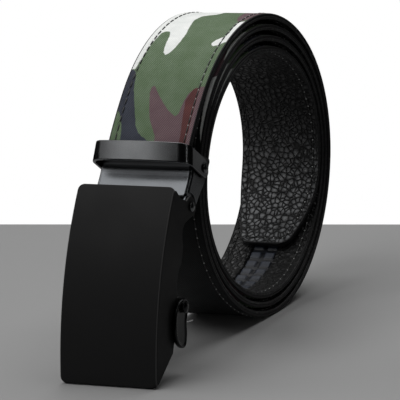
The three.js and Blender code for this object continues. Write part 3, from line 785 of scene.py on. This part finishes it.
def laid_threads(name, place, size, offset, sides):
    """Short capsules along the seam, one for each stitch, carried round both skins on the sides given.

    A capsule's rings stand at distances along the seam from each stitch's middle, with a radius each.
    """
    seam = sewn_line()
    length = np.concatenate([[0], np.cumsum(np.linalg.norm(np.diff(seam, axis=0), axis=1))])
    ahead = np.gradient(seam, length, axis=0)
    ahead /= np.linalg.norm(ahead, axis=1, keepdims=True)
    at = np.arange(offset, length[-1] - 2, STITCH_PITCH)[:, None, None] + np.array(place)[None, :, None]
    across, up = (np.array(size)[:, None, None] * circle(THREAD_SIDES)).transpose(2, 0, 1)
    middle = [np.interp(at, length, seam[:, axis]) for axis in (0, 1)]
    way = [np.interp(at, length, ahead[:, axis]) for axis in (0, 1)]
    x, run = middle[0] + way[1] * across, middle[1] - way[0] * across
    points = [in_world(side * x, strap_at(run, depth - up)).reshape(-1, 3)
              for depth in (THREAD_DEPTH, STRAP_THICK - THREAD_DEPTH) for side in sides]
    one = len(place) * THREAD_SIDES
    starts = np.arange(0, one * len(at) * len(points), one)[:, None]
    quads = (starts[:, None] + grid_quads(len(place), THREAD_SIDES, close_columns=True)).reshape(-1, 4)
    last = starts + one - THREAD_SIDES
    caps = np.concatenate([starts + np.arange(THREAD_SIDES)[::-1], last + np.arange(THREAD_SIDES)])
    return make_piece(name, np.concatenate(points), quads, caps)


def make_stitches():
    """Black thread in the grooves of both skins, and pale thread bits along the right-hand seam that are
    painted glints.
    """
    left, right = -1, 1
    stitches = laid_threads("strap_stitches", [-1.45, -1.3, 0, 1.3, 1.45], [0.1, 0.24, 0.31, 0.24, 0.1],
                            STITCH_PITCH / 2, (left, right))
    fit_out(stitches, "belt", thread)
    # Painted glints: pale thread bits on the right-hand seam only.
    glints = laid_threads("stitch_glints", [-0.3, -0.18, 0.18, 0.3], [0.08, 0.24, 0.24, 0.08], 0.0, (right,))
    fit_out(glints, "belt", glint_thread)


def make_track():
    """The track's skin over a grid: a flat base with two columns of ramped teeth, each steep at one end."""
    run = np.linspace(TRACK_FROM + GAP, TRACK_FROM + TRACK_LENGTH - GAP, 1000)
    right = np.concatenate([[0.6], np.linspace(0.9, 5.1, 12), [5.3, TRACK_HALF]])
    x = np.concatenate([-right[::-1], right])
    phase = np.mod(run - TRACK_FROM - TOOTH_FROM, TOOTH_PITCH)
    ramp = 0.6 + 0.4 * phase / TOOTH_LONG
    tooth = np.clip(phase / 0.5, 0, 1) * np.clip((TOOTH_LONG - phase) / 0.25, 0, 1) * ramp
    column = np.clip((COLUMN_HALF - np.abs(np.abs(x) - COLUMN_MIDDLE)) / 0.25, 0, 1)
    raised = tooth[:, None] * column[None, :]
    depth = TRACK_BASE + (TOOTH_TOP - TRACK_BASE) * raised
    whole_x = np.broadcast_to(np.concatenate([x, [TRACK_HALF, -TRACK_HALF]]), (len(run), len(x) + 2))
    whole_depth = np.concatenate([depth, np.full((len(run), 2), TRACK_BACK)], 1)
    rings = in_world(whole_x, strap_at(run[:, None], whole_depth))
    track = tube("track_skin", rings[:, ::-1])
    name_values(track, raised=np.concatenate([raised, np.zeros((len(run), 2))], 1)[:, ::-1])
    fit_out(track, "belt", track_plastic, ["ratchet_track"])


# Buckle: along runs down a piece from its upper end, out is measured towards its front


def clip_at(along, out):
    """Side-view points in the clip's straight frame, which starts where the strap's bends end."""
    along, out = np.broadcast_arrays(np.asarray(along, float), np.asarray(out, float))
    return CLIP_START + along[..., None] * forward(CLIP_HEADING) + out[..., None] * outward(CLIP_HEADING)


def plate_start():
    """The face plate's heading at its upper end, for which its lower back edge stands on the floor."""
    standing_out, hinge_out = PLATE_RADIUS - PLATE_SHEET, PLATE_RADIUS - HINGE_DEPTH
    standing, hinged = PLATE_LENGTH / PLATE_RADIUS, HINGE_ALONG / PLATE_RADIUS
    level = math.cos(standing) * standing_out - math.cos(hinged) * hinge_out
    slant = math.sin(standing) * standing_out - math.sin(hinged) * hinge_out
    return math.degrees(math.acos(-hinge_place[2] / math.hypot(level, slant)) - math.atan2(slant, level))


PLATE_START = plate_start()
HINGE_TURN = math.degrees(HINGE_ALONG / PLATE_RADIUS)
PLATE_CENTRE = HINGE - (PLATE_RADIUS - HINGE_DEPTH) * outward(PLATE_START + HINGE_TURN)


def plate_at(along, out):
    """Side-view points in the face plate's frame, whose front is an arc round a centre behind it."""
    along, out = np.broadcast_arrays(np.asarray(along, float), np.asarray(out, float))
    way = outward(PLATE_START + np.degrees(along / PLATE_RADIUS))
    return PLATE_CENTRE + way * (PLATE_RADIUS + out)[..., None]


def arc_round(at, along, out, radius, start, end, count=24):
    """Side-view points of an arc in a frame: 0 degrees lies along it, 90 outwards."""
    turned = np.radians(np.linspace(start, end, count))
    return at(along + radius * np.cos(turned), out + radius * np.sin(turned))


def softened(points, spacing=0.45, reach=2):
    """A closed line at even steps round the points, each step averaged with its neighbours, anticlockwise."""
    closed = np.vstack([points, points[:1]])
    runs = np.concatenate([[0], np.cumsum(np.linalg.norm(np.diff(closed, axis=0), axis=1))])
    steps = np.linspace(0, runs[-1], int(runs[-1] / spacing), endpoint=False)
    line = np.stack([np.interp(steps, runs, closed[:, axis]) for axis in (0, 1)], -1)
    line = sum(np.roll(line, shift, axis=0) for shift in range(-reach, reach + 1)) / (2 * reach + 1)
    onward = np.roll(line, -1, axis=0)
    area = (line[:, 0] * onward[:, 1] - onward[:, 0] * line[:, 1]).sum()
    return line if area > 0 else line[::-1]


def drawn_in(outline, inset):
    """An anticlockwise outline moved towards its inside, square to the chord between its neighbours."""
    ahead = np.roll(outline, -1, axis=0) - np.roll(outline, 1, axis=0)
    ahead /= np.linalg.norm(ahead, axis=1, keepdims=True)
    return outline + inset * np.stack([-ahead[:, 1], ahead[:, 0]], -1)


def slab(outline, low, high, rim=WALL_RIM):
    """A side plate's skin from x = low to high: both rims are quarter rounds, each face is flat."""
    turned = np.radians([0, 30, 60, 90])
    in_by = rim * (1 - np.sin(turned))
    from_face = rim * (1 - np.cos(turned))
    places = list(zip(low + from_face, in_by)) + list(zip(high - from_face, in_by))[::-1]
    return skin_over(np.stack([in_world(x, drawn_in(outline, inset)) for x, inset in places]))


def both_sides(low, high):
    """The spans of x of a side plate on the right and of its twin on the left."""
    return (low, high), (-high, -low)


def plate_outline(inset):
    """x and along of a rounded rectangle drawn in: up its right side, and down the left in mirror."""
    half, length = PLATE_HALF - inset, PLATE_LENGTH / 2 - inset
    corner = max(PLATE_CORNER - inset, 0.1)
    turned = np.radians(np.linspace(0, 90, 9))
    near, far = corner * np.sin(turned), corner * np.cos(turned)
    ends = np.linspace(0.02, 1, 12)[:-1] * (half - corner)
    side = np.linspace(1, -1, 41)[1:-1] * (length - corner)
    x = [ends, half - corner + near, np.full(len(side), half), half - corner + far, ends[::-1]]
    level = np.full(len(ends), length)
    along = [level, length - corner + far, side, corner - length - near, -level]
    x, along = np.concatenate(x), np.concatenate(along) + PLATE_LENGTH / 2
    return np.concatenate([x, -x[::-1]]), np.concatenate([along, along[::-1]])


def plate_sheet():
    """The front sheet's skin: its outline drawn in ring by ring over the back, the round rim, the front."""
    turned = np.radians(np.linspace(0, 90, 6))
    rim = list(zip(PLATE_ROUND * (1 - np.cos(turned)), PLATE_ROUND * (np.sin(turned) - 1)))
    back = [(inset, -PLATE_SHEET) for inset in (20.1, 14, 8, 3, 0.4, 0)]
    front = [(inset, 0) for inset in (1, 2.5, 5, 9, 14, 20.1)]
    rings = []
    for inset, out in back + rim + front:
        x, along = plate_outline(inset)
        rings.append(in_world(x, plate_at(along, out)))
    rings = np.stack(rings)
    rows, columns = rings.shape[:2]
    here = np.arange(columns // 2 - 1)
    slit = np.stack([here, here + 1, columns - 2 - here, columns - 1 - here], -1)
    front_slit = slit + (rows - 1) * columns
    quads = [grid_quads(rows, columns, close_columns=True), slit[:, ::-1], front_slit]
    return rings.reshape(-1, 3), np.concatenate(quads), []


def make_face_plate():
    """The bowed front sheet and its side walls, whose free edge swells to an ear at each pivot."""
    above = np.array([(0.01, 0.1), (0.022, 0.3), (0.027, 0.46), (0.016, 0.6)])
    between = np.array([(0.116, 0.92), (0.14, 0.83), (0.172, 0.81), (0.212, 0.86), (0.25, 0.97), (0.34, 1.01),
                        (0.388, 0.91), (0.45, 0.87), (0.5, 0.9)])
    below = np.array([(0.8, 0.91), (0.84, 0.89), (0.925, 0.44), (0.985, 0.09)])
    scale = np.array([PLATE_LENGTH, -WALL_DEPTH])
    front = np.linspace(0.985, 0.015, 60) * PLATE_LENGTH
    outline = softened(np.vstack([
        plate_at(*(above * scale).T),
        arc_round(plate_at, HINGE_ALONG, -HINGE_DEPTH, EAR_RADIUS, 92, 330),
        plate_at(*(between * scale).T),
        arc_round(plate_at, PAWL_ALONG, -PAWL_DEPTH, EAR_RADIUS, 140, 332),
        plate_at(*(below * scale).T),
        plate_at(front, -WALL_FRONT),
    ]))
    walls = [slab(outline, *span) for span in both_sides(WALL_INNER, PLATE_HALF - WALL_FLUSH)]
    plate = assembled("face_plate_shell", [plate_sheet(), *walls])
    fit_out(plate, "buckle", matt_black, ["face_plate"])


def rounded_section(half, tall, corner, steps=5):
    """Offsets of a rounded rectangle, anticlockwise, for each of several heights."""
    turned = np.radians(np.linspace(0, 90, steps))
    tall = np.asarray(tall, float)[:, None]
    corner = np.minimum(corner, 0.9 * tall)
    across, up = [], []
    for turn, side, rise in ((0, 1, 1), (90, -1, 1), (180, -1, -1), (270, 1, -1)):
        angle = turned + math.radians(turn)
        across.append(side * (half - corner) + corner * np.cos(angle))
        up.append(rise * (tall - corner) + corner * np.sin(angle))
    return np.concatenate(across, 1), np.concatenate(up, 1)


def make_keeper():
    """A strip carried along a loop: up one leg from its round ear, over the bowed bar, down the other leg.

    The loop's plane rises from the pivot towards the front, and the strip's width leans back a little.
    """
    leg = CLIP_HALF + GAP + KEEPER_SHEET / 2
    bar = KEEPER_REACH - KEEPER_SHEET / 2
    corner_reach = bar - KEEPER_CORNER
    turned = np.radians(np.linspace(180, 90, 13))
    ear = -KEEPER_EAR * np.cos(np.radians(np.linspace(6, 90, 12)))
    rise = np.linspace(0, corner_reach, 8)[1:-1]
    share = np.linspace(1, 0, 24)[1:]
    x = [np.full(len(ear) + len(rise), -leg), -leg + KEEPER_CORNER + KEEPER_CORNER * np.cos(turned),
         -(leg - KEEPER_CORNER) * share]
    reach = [ear, rise, corner_reach + KEEPER_CORNER * np.sin(turned), bar + KEEPER_BOW * (1 - share**2)]
    x, reach = np.concatenate(x), np.concatenate(reach)
    path = np.stack([np.concatenate([x, -x[-2::-1]]), np.concatenate([reach, reach[-2::-1]])], -1)
    ahead = np.gradient(path, axis=0)
    ahead /= np.linalg.norm(ahead, axis=1, keepdims=True)
    tall = KEEPER_HALF * np.sqrt(1 - (np.clip(path[:, 1], None, 0) / KEEPER_EAR) ** 2)
    across, up = rounded_section(KEEPER_SHEET / 2, tall, KEEPER_ROUND)
    x = path[:, 0:1] - ahead[:, 1:2] * across
    x += KEEPER_DRAWN * (up / KEEPER_HALF + 1) * np.clip(-x / leg, 0, 1) ** 4 / 2
    reach = path[:, 1:2] + ahead[:, 0:1] * across
    slope, lean = math.radians(KEEPER_RISE), math.radians(KEEPER_LEAN)
    side = KEEPER_PIVOT + np.stack([up * math.sin(lean) - reach * math.cos(slope),
                                    up * math.cos(lean) + reach * math.sin(slope)], -1)
    loop = assembled("keeper_strip", [skin_over(in_world(x, side))])
    fit_out(loop, "keeper", satin_black, ["keeper_loop"])


def make_clip():
    """The clip's front sheet, bent round at both sides, with its side walls and the ears of the hinge.

    The sheet is a channel's section carried down the strap. Round the hinge its sides end on a circle.
    """
    bent = 2 * MOUTH_HEADING - KEEPER_HEADING - CLIP_HEADING
    mouth = STRAP_LENGTH - CLAMPED - MOUTH_RADIUS * math.radians(bent)
    mouth += 0.6 * MOUTH_RADIUS * math.radians(MOUTH_HEADING - KEEPER_HEADING)
    run = np.linspace(mouth, STRAP_LENGTH - CLAMPED, 36)
    shoulder = HINGE_DROP - math.sqrt(SHOULDER_RADIUS**2 - (HINGE_SETBACK + GAP + CLIP_SHEET) ** 2)
    along = np.linspace(0, shoulder, 16)[1:]
    reach = np.clip(SHOULDER_RADIUS**2 - (HINGE_DROP - along) ** 2, 0, None)
    on_circle = np.maximum(-1, np.sqrt(reach) - HINGE_SETBACK)
    lowest = np.concatenate([np.full(len(run), -1.0), on_circle])[:, None]

    def bend(out, radius):
        """x on the right-hand side: upright, then a quarter circle over the bend."""
        above = np.clip(out - GAP - CLIP_SHEET + CLIP_BEND, 0, radius)
        return CLIP_HALF - CLIP_BEND + np.sqrt(radius**2 - above**2)

    turned = np.radians(np.linspace(0, 90, 9))
    top, inner_bend = GAP + CLIP_SHEET, CLIP_BEND - CLIP_SHEET
    outer = np.maximum(np.concatenate([[-1.0, -0.6], top - CLIP_BEND + CLIP_BEND * np.sin(turned)]), lowest)
    inner = np.maximum(np.concatenate([[-1.0, -0.6], GAP - inner_bend + inner_bend * np.sin(turned)]), lowest)
    inner = np.minimum(inner, GAP)
    outer_x, inner_x = bend(outer, CLIP_BEND), bend(inner, inner_bend)
    out = np.concatenate([outer, outer[:, ::-1], inner, inner[:, ::-1]], 1)
    x = np.concatenate([outer_x, -outer_x[:, ::-1], -inner_x, inner_x[:, ::-1]], 1)
    upper = strap_at(run[:, None], -out[: len(run)])
    lower = clip_at(along[:, None], out[len(run) :])
    sheet = skin_over(in_world(x, np.vstack([upper, lower])))

    edge_turn = 180 - math.degrees(math.asin((HINGE_SETBACK - 0.5) / SHOULDER_RADIUS))
    wall = softened(np.vstack([
        strap_at(run, 0.5),
        arc_round(clip_at, HINGE_DROP, -HINGE_SETBACK, SHOULDER_RADIUS, edge_turn, 245),
        clip_at([HINGE_DROP * 0.2, -CLIP_TAB * 0.36, -CLIP_TAB * 0.94, -CLIP_TAB],
                [-CLIP_DEPTH * 0.84, -CLIP_DEPTH, -CLIP_DEPTH, -CLIP_DEPTH * 0.9]),
    ]), 0.3)
    ear = softened(np.vstack([
        clip_at([-CLIP_TAB * 0.2], [0]),
        arc_round(clip_at, HINGE_DROP, -HINGE_SETBACK, EAR_RADIUS - 2 * GAP, 110, -110),
        clip_at([HINGE_DROP * 0.2, -CLIP_TAB * 0.2], [-CLIP_DEPTH * 0.8, -CLIP_DEPTH * 0.84]),
    ]), 0.3)
    ear_outer = WALL_INNER - GAP
    wall_inner, wall_outer = CLIP_HALF - CLIP_SHEET + CLIP_FLUSH, CLIP_HALF - CLIP_FLUSH
    walls = [slab(wall, *span) for span in both_sides(wall_inner, wall_outer)]
    ears = [slab(ear, *span) for span in both_sides(ear_outer - CLIP_SHEET, ear_outer)]
    clip = assembled("clip_channel", [sheet, *walls, *ears])
    fit_out(clip, "belt", clip_metal, ["tail_clip"])


def turned_pin(centre, side, radii, places):
    """The skin of a pin turned about an axis across the belt, from its radii at places along the axis."""
    radii, places = np.asarray(radii, float), np.asarray(places, float)
    if side < 0:
        radii, places = radii[::-1], -places[::-1]
    return skin_over(in_world(places[:, None], centre + radii[:, None, None] * circle(32)))


def domed(radius, seat, height):
    """Radii and places of a rivet's head: a short upright rim, then a flattened dome up to its middle.

    The dome's height over its seat goes with the root of 1 less a share of the radius squared.
    """
    share = np.cos(np.radians(np.linspace(0, 89, 14)))
    radii = np.concatenate([[radius * 0.97, radius], radius * share])
    places = np.concatenate([[seat, seat + 0.08], seat + height * np.sqrt(1 - DOME_FLATNESS * share**2)])
    return radii, places


def make_rivets():
    """Four domed rivets and the lever's pin, each turned in one profile with its shaft."""
    keeper_outer = CLIP_HALF + GAP + KEEPER_SHEET
    ear_inner = WALL_INNER - GAP - CLIP_SHEET
    rows = (
        ("keeper_rivet", KEEPER_PIVOT, CLIP_HALF - CLIP_SHEET - GAP, keeper_outer + GAP / 2, "belt"),
        ("hinge_rivet", HINGE, ear_inner - GAP, PLATE_HALF + GAP / 2, "buckle"),
    )
    for name, centre, inner, seat, body in rows:
        radii, places = domed(RIVET_HEAD, seat, RIVET_DOME)
        radii = np.concatenate([[SHAFT_RADIUS, SHAFT_RADIUS], radii])
        places = np.concatenate([[inner, seat - 0.01], places])
        for side, word in ((-1, "left"), (1, "right")):
            rivet = assembled(f"{name}_{word}_turned", [turned_pin(centre, side, radii, places)])
            fit_out(rivet, body, satin_black, nodes=[f"{name}_{word}"])

    seat = LEVER_OUTSIDE + GAP / 2
    tail = PLATE_HALF + GAP
    radii, places = domed(PIN_HEAD, seat, PIN_DOME)
    tail_radii, tail_places = domed(RIVET_HEAD, tail, RIVET_DOME)
    radii = np.concatenate([tail_radii[::-1], [SHAFT_RADIUS, SHAFT_RADIUS], radii])
    places = np.concatenate([-tail_places[::-1], [0.01 - tail, seat - 0.01], places])
    pin = assembled("pawl_pin_turned", [turned_pin(plate_at(PAWL_ALONG, -PAWL_DEPTH), 1, radii, places)])
    fit_out(pin, "pawl_lever", lever_black, nodes=["pawl_pin"])


LEVER_LEAF = np.array([
    (-0.2, -0.02), (-0.08, 0.34), (0.19, 0.54), (0.54, 0.52), (0.82, 0.34), (0.96, -0.02), (0.9, -0.29),
    (0.645, -0.34), (0.376, -0.28), (0.19, -0.3), (0, -0.35), (-0.15, -0.28)])


def leaf_line(per_side=12):
    """A closed smooth line through the leaf's points: cubics that pass each along its neighbours' chord."""
    points = LEVER_LEAF * (LEVER_LENGTH, LEVER_WIDTH) + (PAWL_ALONG, -PAWL_DEPTH)
    slopes = (np.roll(points, -1, axis=0) - np.roll(points, 1, axis=0)) / 2
    share = (np.arange(per_side) / per_side)[:, None]
    onward, onward_slopes = np.roll(points, -1, axis=0)[:, None], np.roll(slopes, -1, axis=0)[:, None]
    passed = 3 * share**2 - 2 * share**3
    leaving = (1 - passed) * points[:, None] + (share**3 - 2 * share**2 + share) * slopes[:, None]
    arriving = passed * onward + (share**3 - share**2) * onward_slopes
    return softened(plate_at(*(leaving + arriving).reshape(-1, 2).T), 0.3, 1)


def make_lever():
    """A pressed leaf: its thin edge, a raised rim all round and a shallow dish inside the rim."""
    outline = leaf_line()
    low, high = PLATE_HALF + GAP, LEVER_OUTSIDE
    places = [(low, 0.25), (low + 0.07, 0.07), (low + 0.25, 0), (high - 0.45, 0), (high - 0.2, 0.1),
              (high - 0.05, 0.26), (high, 0.5), (high - 0.04, 0.75), (high - 0.2, 1.1), (high - 0.36, 1.5),
              (high - 0.42, 1.9)]
    leaf = assembled("lever_leaf", [skin_over(np.stack([
        in_world(x, drawn_in(outline, inset)) for x, inset in places]))])
    fit_out(leaf, "pawl_lever", lever_black, ["release_lever"])


SPRING_LINE = np.array([
    (21.3, 45.6, -14.4), (21.3, 48.2, -15.6), (21.25, 50.6, -17.4), (21.15, 51.5, -21), (21.05, 51.2, -25),
    (21, 50.6, -28.2)])


def make_spring():
    """The spring's free leg: a round wire carried along a bent line, from under the leaf to its own end."""
    steps = np.linspace(0, 1, 25)
    knots = np.linspace(0, 1, len(SPRING_LINE))
    line = np.stack([np.interp(steps, knots, SPRING_LINE[:, axis]) for axis in range(3)], -1)
    line[1:-1] = (line[:-2] + line[1:-1] + line[2:]) / 3
    centre = in_world(line[:, 0], plate_at(line[:, 1], line[:, 2])) / MM
    ahead = np.gradient(centre, axis=0)
    ahead /= np.linalg.norm(ahead, axis=1, keepdims=True)
    across = np.array([1.0, 0, 0]) - ahead[:, 0:1] * ahead
    across /= np.linalg.norm(across, axis=1, keepdims=True)
    up = np.cross(ahead, across)
    turned = circle(12)
    ring = across[:, None] * turned[:, 0:1] + up[:, None] * turned[:, 1:2]
    wire = assembled("spring_leg", [skin_over((centre[:, None] + WIRE_RADIUS * ring) * MM)])
    fit_out(wire, "pawl_lever", bright_metal)


def paint_inner_metal():
    """The clip's jaw and the pawl keep their solids and get their finish."""
    for name, material in (("clamp_jaw", clip_metal), ("pawl", pawl_metal)):
        node = frame["nodes"][name]
        node.data.materials.clear()
        node.data.materials.append(material)


# Floor, light and camera: each light's place, the place it points at, its width and height, and its power

SURROUND = 0.006
LIGHTS = {
    "key": ((-0.29, -0.48, 0.8), (0, 0, 0.05), (0.65, 0.65), 4),
    "top": ((0.0, 0.35, 0.85), (0, 0, 0.05), (0.8, 0.8), 6),
    "left": ((-0.8, -0.15, 0.5), (0, 0, 0.05), (0.45, 0.5), 2),
    "front": ((-0.46, -0.9, 0.2), (0, 0, 0.08), (0.22, 0.4), 0.6),
    "right": ((0.87, -0.5, 0.3), (0, 0, 0.08), (0.03, 0.6), 0.3),
    "high_right": ((0.82, -0.09, 0.62), (0, 0, 0.08), (0.03, 0.4), 0.2),
    "behind": ((0.5, 0.85, 0.1), (0, 0, 0.08), (0.3, 0.5), 0.11),
}
FLOOR_TONE = (0.3, 0.3, 0.3)
FLOOR_TURN = 10.2
FLOOR_HALF = 0.1815
FLOOR_DROP = 0.0002
EYE = (539.24, -1109.15, 315.85)
AZIMUTH, ELEVATION, ROLL = 26.0, 12.09, -3.5
LENS = 288
FAR_CLIP = 20


def make_stage():
    """A pale square table top, turned so that its far edge lies level in the camera's view."""
    turned = math.radians(FLOOR_TURN)
    across = np.array([math.cos(turned), math.sin(turned)])
    away = np.array([-math.sin(turned), math.cos(turned)])
    sides = np.array([[-1, -1], [1, -1], [-1, 1], [1, 1]]) * FLOOR_HALF
    flat = sides[:, 0:1] * across + sides[:, 1:2] * away
    points = np.column_stack([flat, np.full(4, -FLOOR_DROP)])
    floor = make_piece("floor", points, np.array([[0, 1, 3, 2]]))
    floor.data.materials.append(Finish("pale_floor", FLOOR_TONE, 0.5).material)


def add_light(name, place, target, size, power):
    """A rectangle of white light that faces its target and isn't seen by the camera."""
    light = bpy.data.lights.new(name, "AREA")
    light.shape = "RECTANGLE"
    light.size, light.size_y = size
    light.energy = power
    lamp = bpy.data.objects.new(name, light)
    lamp.location = place
    lamp.rotation_euler = (Vector(place) - Vector(target)).to_track_quat("Z", "Y").to_euler()
    lamp.visible_camera = False
    bpy.context.scene.collection.objects.link(lamp)


def make_light():
    """A white backdrop that lights little, two broad lights overhead, and smaller ones on four sides.

    The one behind stands in for the backdrop that the leg, the rims and the rivets reflect.
    """
    world = bpy.data.worlds.new("studio")
    world.use_nodes = True
    tree = world.node_tree
    background = tree.nodes["Background"]
    background.inputs["Color"].default_value = (1, 1, 1, 1)
    seen = tree.nodes.new("ShaderNodeLightPath").outputs["Is Camera Ray"]
    strength = tree.nodes.new("ShaderNodeMapRange")
    strength.inputs["To Min"].default_value = SURROUND
    tree.links.new(seen, strength.inputs["Value"])
    tree.links.new(strength.outputs["Result"], background.inputs["Strength"])
    bpy.context.scene.world = world
    for name, settings in LIGHTS.items():
        add_light(name, *settings)


def make_camera():
    """The photograph's view: its place, its heading, its tilt and its long lens."""
    azimuth, elevation, roll = map(math.radians, (AZIMUTH, ELEVATION, ROLL))
    ahead = np.array([-math.sin(azimuth) * math.cos(elevation), math.cos(azimuth) * math.cos(elevation),
                      -math.sin(elevation)])
    level = np.array([math.cos(azimuth), math.sin(azimuth), 0])
    upright = np.cross(level, ahead)
    right = math.cos(roll) * level + math.sin(roll) * upright
    up = -math.sin(roll) * level + math.cos(roll) * upright
    camera = bpy.data.objects.new("camera", bpy.data.cameras.new("camera"))
    camera.data.lens = LENS
    camera.data.clip_end = FAR_CLIP
    turned = np.eye(4)
    turned[:3, 0], turned[:3, 1], turned[:3, 2] = right, up, -ahead
    turned[:3, 3] = np.array(EYE) * MM
    camera.matrix_world = Matrix(turned.tolist())
    bpy.context.scene.collection.objects.link(camera)
    bpy.context.scene.camera = camera


make_camera()
make_light()
make_stage()
make_strap()
make_stitches()
make_track()
make_clip()
make_keeper()
make_face_plate()
make_rivets()
make_lever()
make_spring()
paint_inner_metal()
bpy.context.scene.view_settings.view_transform = "Standard"
